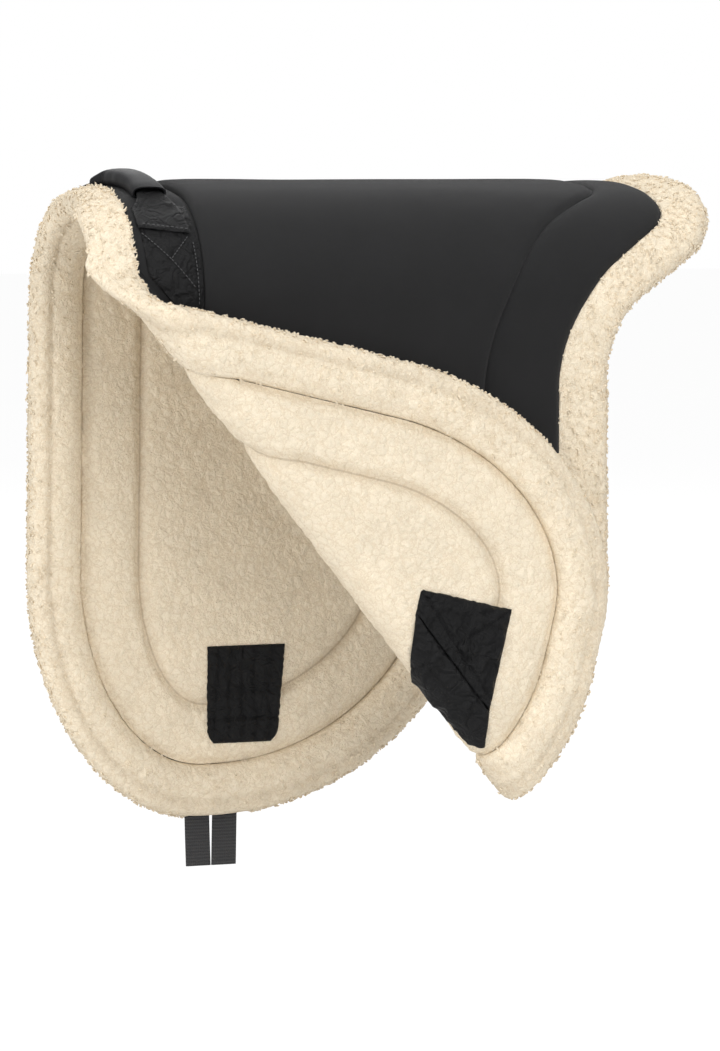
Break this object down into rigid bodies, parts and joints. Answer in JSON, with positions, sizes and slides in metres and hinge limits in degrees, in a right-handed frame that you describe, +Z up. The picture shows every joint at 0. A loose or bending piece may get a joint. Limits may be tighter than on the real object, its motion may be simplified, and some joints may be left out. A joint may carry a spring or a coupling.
{
  "type": "bareback pad",
  "caption": "Quilted saddle pad with a fleece lining and rolled fleece rim, a grab handle and girth straps, with one lower corner folded back to show the lining.",
  "frame": {"origin": "the lining's underside on the ridge, where the pad rests on the horse's spine, 300 mm behind the pommel's front edge", "axes": "+X towards the tail, +Y towards the far (right) side of the horse, +Z up"},
  "size_m": [0.5824, 0.3516, 0.6564],
  "materials": {
    "black_fabric": "matt smooth woven fabric, padded",
    "black_patch": "matt black nylon fabric, stitched",
    "webbing": "ribbed woven webbing",
    "grip_leather": "satin synthetic leather",
    "foam": "plain grey foam",
    "fleece": "curly cream fleece"
  },
  "bodies": {
    "pad": {"seat_panel": "black_fabric", "border_cover": "black_fabric", "foam_core": "foam", "fleece_lining": "fleece", "fleece_rim": "fleece", "fold_cover": "black_fabric", "fold_foam": "foam", "fold_lining": "fleece", "fold_rim_front": "fleece", "fold_rim_hem": "fleece", "fold_patch": "black_patch", "handle_strap": "webbing", "handle_sleeve": "grip_leather", "handle_tab_far": "black_patch", "handle_tab_near": "black_patch", "girth_patch_far": "black_patch", "girth_anchor_far": "webbing"},
    "turned_corner": {"corner_cover": "black_fabric", "corner_foam": "foam", "corner_lining": "fleece", "corner_rim": "fleece", "girth_patch_near": "black_patch", "girth_anchor_near": "webbing"},
    "strap_far_front": {"girth_strap_far_front": "webbing"},
    "strap_far_rear": {"girth_strap_far_rear": "webbing"},
    "strap_near_front": {"girth_strap_near_front": "webbing"},
    "strap_near_rear": {"girth_strap_near_rear": "webbing"}
  },
  "joints": [
    {"name": "corner_fold", "type": "hinge", "parent": "pad", "child": "turned_corner", "pos_m": [-0.2715, -0.16014, -0.08488], "axis": [0.6184, 0, -0.7859], "range_deg": [0, 165], "deforming": ["fold_cover", "fold_foam", "fold_lining", "fold_rim_front", "fold_rim_hem", "fold_patch"]},
    {"name": "strap_far_front_swing", "type": "hinge", "parent": "pad", "child": "strap_far_front", "pos_m": [-0.1375, 0.15724, -0.52951], "axis": [1, 0, 0], "range_deg": [0, 80]},
    {"name": "strap_far_rear_swing", "type": "hinge", "parent": "pad", "child": "strap_far_rear", "pos_m": [-0.1075, 0.15724, -0.52951], "axis": [1, 0, 0], "range_deg": [0, 80]},
    {"name": "strap_near_front_swing", "type": "hinge", "parent": "turned_corner", "child": "strap_near_front", "pos_m": [0.08842, -0.15924, -0.35173], "axis": [0, -1, 0], "range_deg": [0, 76]},
    {"name": "strap_near_rear_swing", "type": "hinge", "parent": "turned_corner", "child": "strap_near_rear", "pos_m": [0.08136, -0.16114, -0.38089], "axis": [0, -1, 0], "range_deg": [0, 76]}
  ]
}
